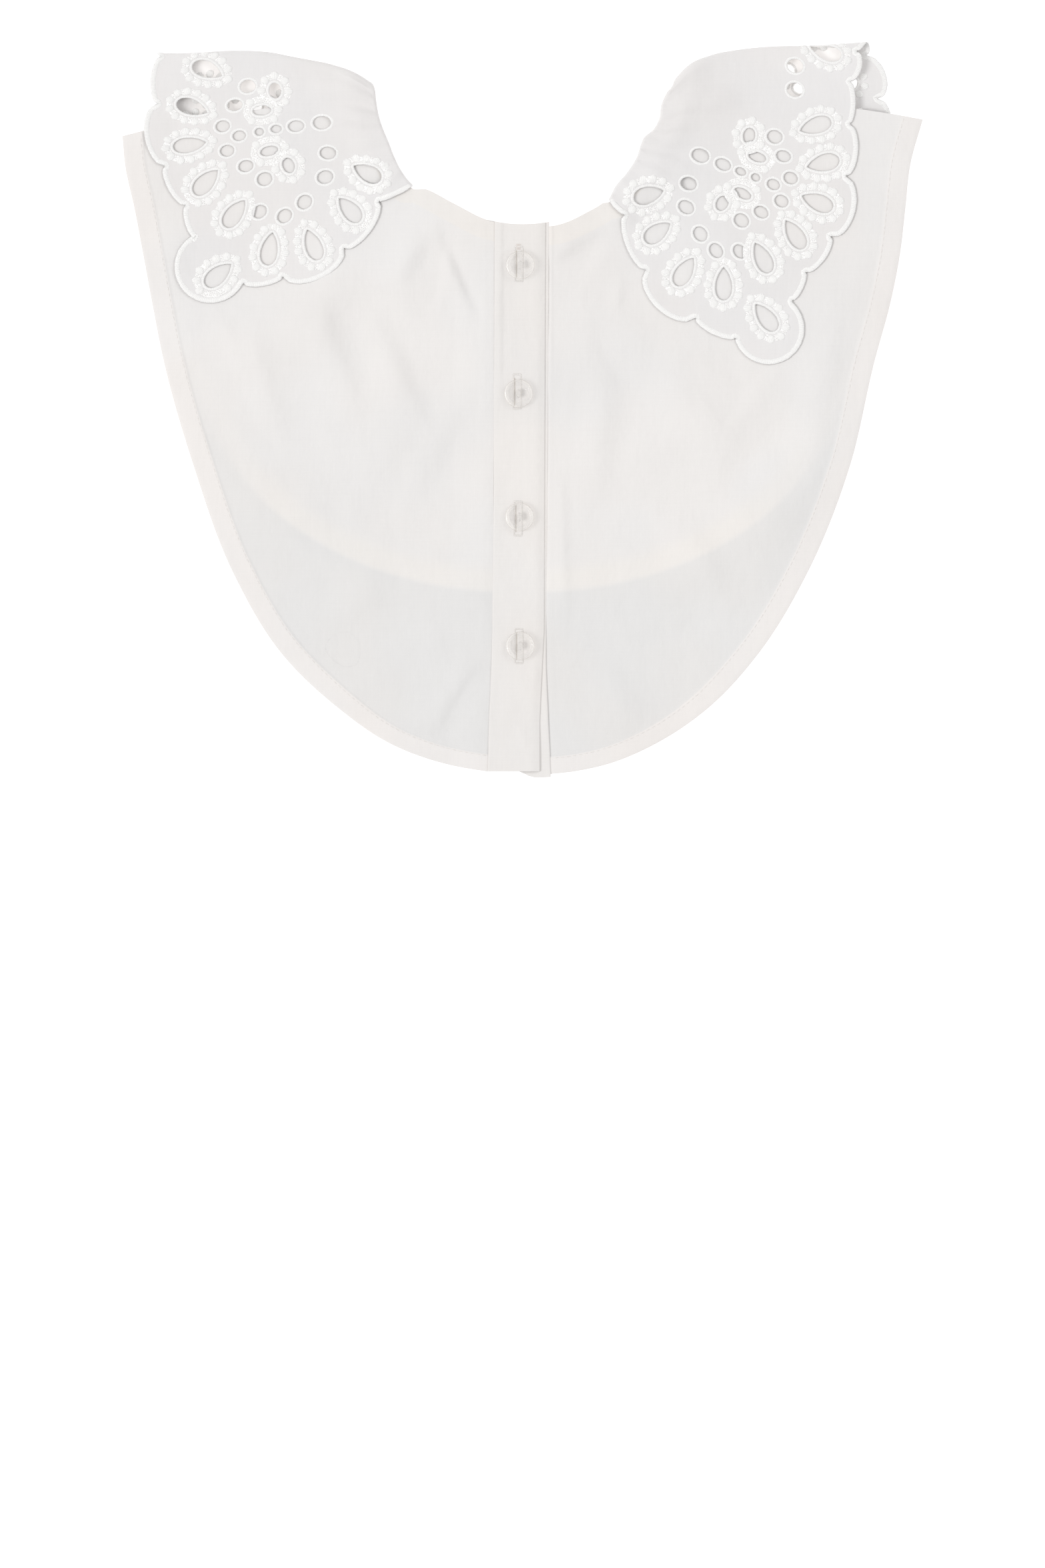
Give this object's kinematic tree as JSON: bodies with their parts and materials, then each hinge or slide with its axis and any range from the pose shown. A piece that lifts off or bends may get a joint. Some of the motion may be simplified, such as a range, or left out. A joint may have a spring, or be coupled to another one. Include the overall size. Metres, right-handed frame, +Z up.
{
  "type": "detachable blouse collar",
  "caption": "Detachable blouse collar laid flat: a bib of front and back panels with a centre button placket, and a gathered, scalloped eyelet cape collar folded over at both shoulders.",
  "frame": {"origin": "centre of the laid garment's plan box, on the surface it lies on", "axes": "+X towards the wearer's left, +Y towards the neck and shoulders, +Z up from the surface, with the garment's front facing up"},
  "size_m": [0.3202, 0.2944, 0.009],
  "materials": {
    "cotton_voile": "matte",
    "eyelet_cotton": "matte, with satin-stitched edges",
    "facing_cotton": "matte",
    "clear_plastic": "gloss"
  },
  "bodies": {
    "root": {"back": "cotton_voile", "front_right": "cotton_voile", "front_left": "cotton_voile", "neck_facing_right": "facing_cotton", "neck_facing_left": "facing_cotton", "buttonhole_band": "cotton_voile", "button_stand": "cotton_voile", "collar": "eyelet_cotton", "button_1": "clear_plastic", "button_2": "clear_plastic", "button_3": "clear_plastic", "button_4": "clear_plastic"}
  },
  "joints": []
}
